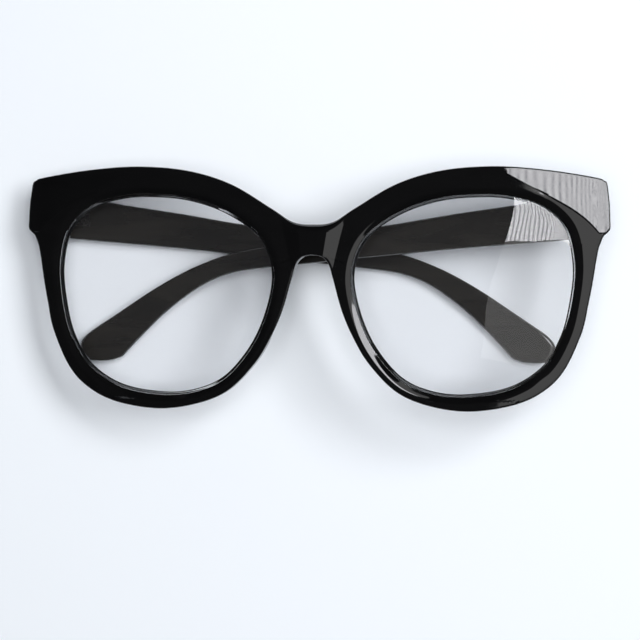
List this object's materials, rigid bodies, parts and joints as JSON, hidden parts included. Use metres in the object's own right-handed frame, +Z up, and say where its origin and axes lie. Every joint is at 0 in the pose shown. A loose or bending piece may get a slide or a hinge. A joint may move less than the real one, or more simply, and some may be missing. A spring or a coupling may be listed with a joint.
{
  "type": "cat eye eyeglasses",
  "caption": "Glossy plastic cat eye eyeglasses with large rounded clear lenses, moulded nose pads and hinged temples that fold flat behind the front.",
  "frame": {"origin": "on the flat outer face of the right temple, where it passes under the middle of the bridge, with the glasses folded and lying on that face", "axes": "+X from the wearer's right to the wearer's left along the front, +Y from the lower rims to the brow, +Z up, away from the surface that the glasses lie on"},
  "size_m": [0.1476, 0.0612, 0.0265],
  "materials": {
    "frame_plastic": "polished black",
    "temple_plastic": "polished black",
    "lens": "clear",
    "hinge_metal": "satin",
    "screw_metal": "satin"
  },
  "bodies": {
    "front": {"front_frame": "frame_plastic", "left_lens": "lens", "right_lens": "lens", "left_front_hinge": "hinge_metal", "right_front_hinge": "hinge_metal", "left_screw": "screw_metal", "right_screw": "screw_metal"},
    "left_arm": {"left_temple": "temple_plastic", "left_temple_hinge": "hinge_metal"},
    "right_arm": {"right_temple": "temple_plastic", "right_temple_hinge": "hinge_metal"}
  },
  "joints": [
    {"name": "right_hinge", "type": "hinge", "parent": "front", "child": "right_arm", "pos_m": [-0.06599, 0.0086, 0.0056], "axis": [0, 1, 0], "range_deg": [0, 88.6]},
    {"name": "left_hinge", "type": "hinge", "parent": "front", "child": "left_arm", "pos_m": [0.06842, 0.0086, 0.01825], "axis": [0, -1, 0], "range_deg": [0, 94]}
  ]
}
